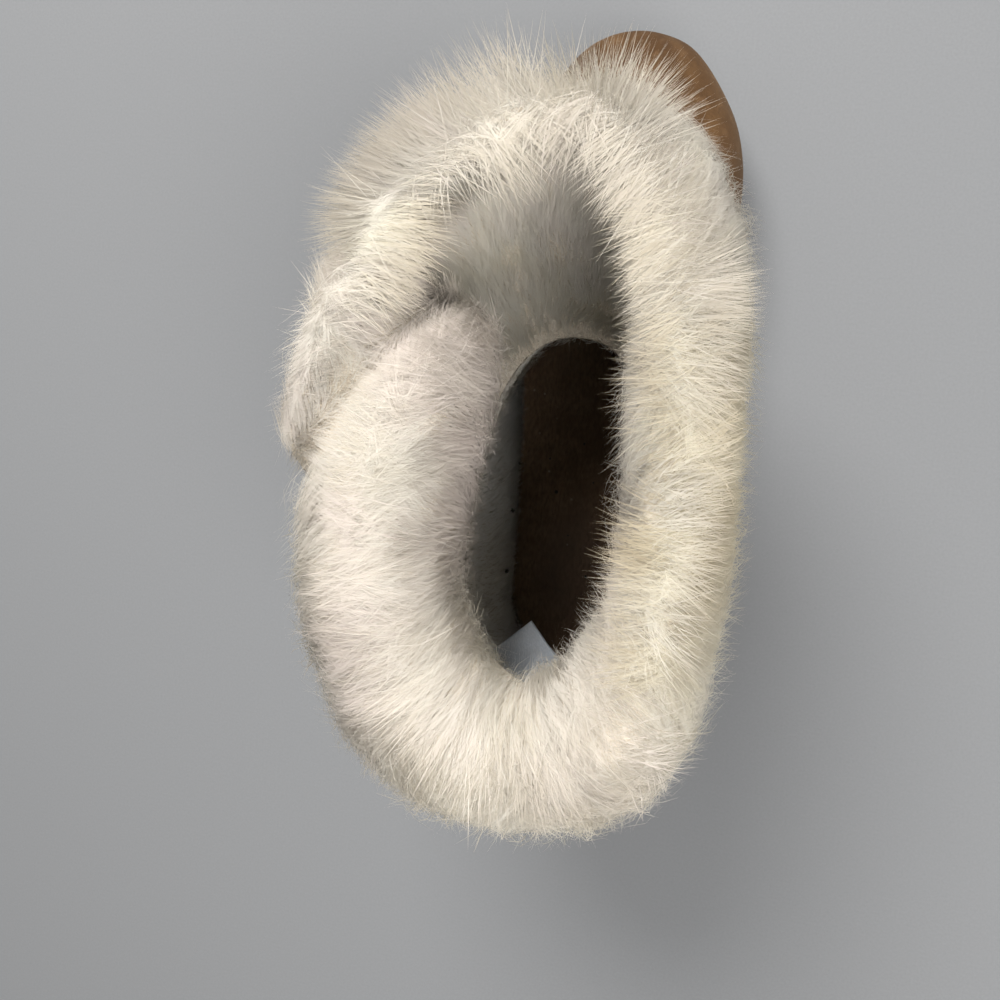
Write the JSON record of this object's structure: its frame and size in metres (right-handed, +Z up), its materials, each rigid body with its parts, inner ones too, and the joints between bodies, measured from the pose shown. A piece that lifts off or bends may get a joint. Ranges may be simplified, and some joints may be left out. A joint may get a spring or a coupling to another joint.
{
  "type": "fur boot",
  "caption": "Women's winter boot with a tan suede foot, a rubber sole with cross lugs and a deep cream fur shaft, slack and folded at its outer side; left boot.",
  "frame": {"origin": "on the floor under the middle of the heel, at the heel's flat resting face", "axes": "+Y from heel to toe, +X to the inner side of the foot, +Z up along the shaft"},
  "size_m": [0.137, 0.2821, 0.2007],
  "materials": {
    "sole_rubber": "matte moulded rubber, brown",
    "tan_suede": "brushed suede, tan",
    "insole_suede": "worn suede, brown",
    "cream_fur": "deep soft pile, cream",
    "label_satin": "satin ribbon, blank"
  },
  "bodies": {
    "root": {"outsole": "sole_rubber", "upper": "tan_suede", "insole": "insole_suede", "fur_shaft": "cream_fur", "care_label": "label_satin"}
  },
  "joints": []
}
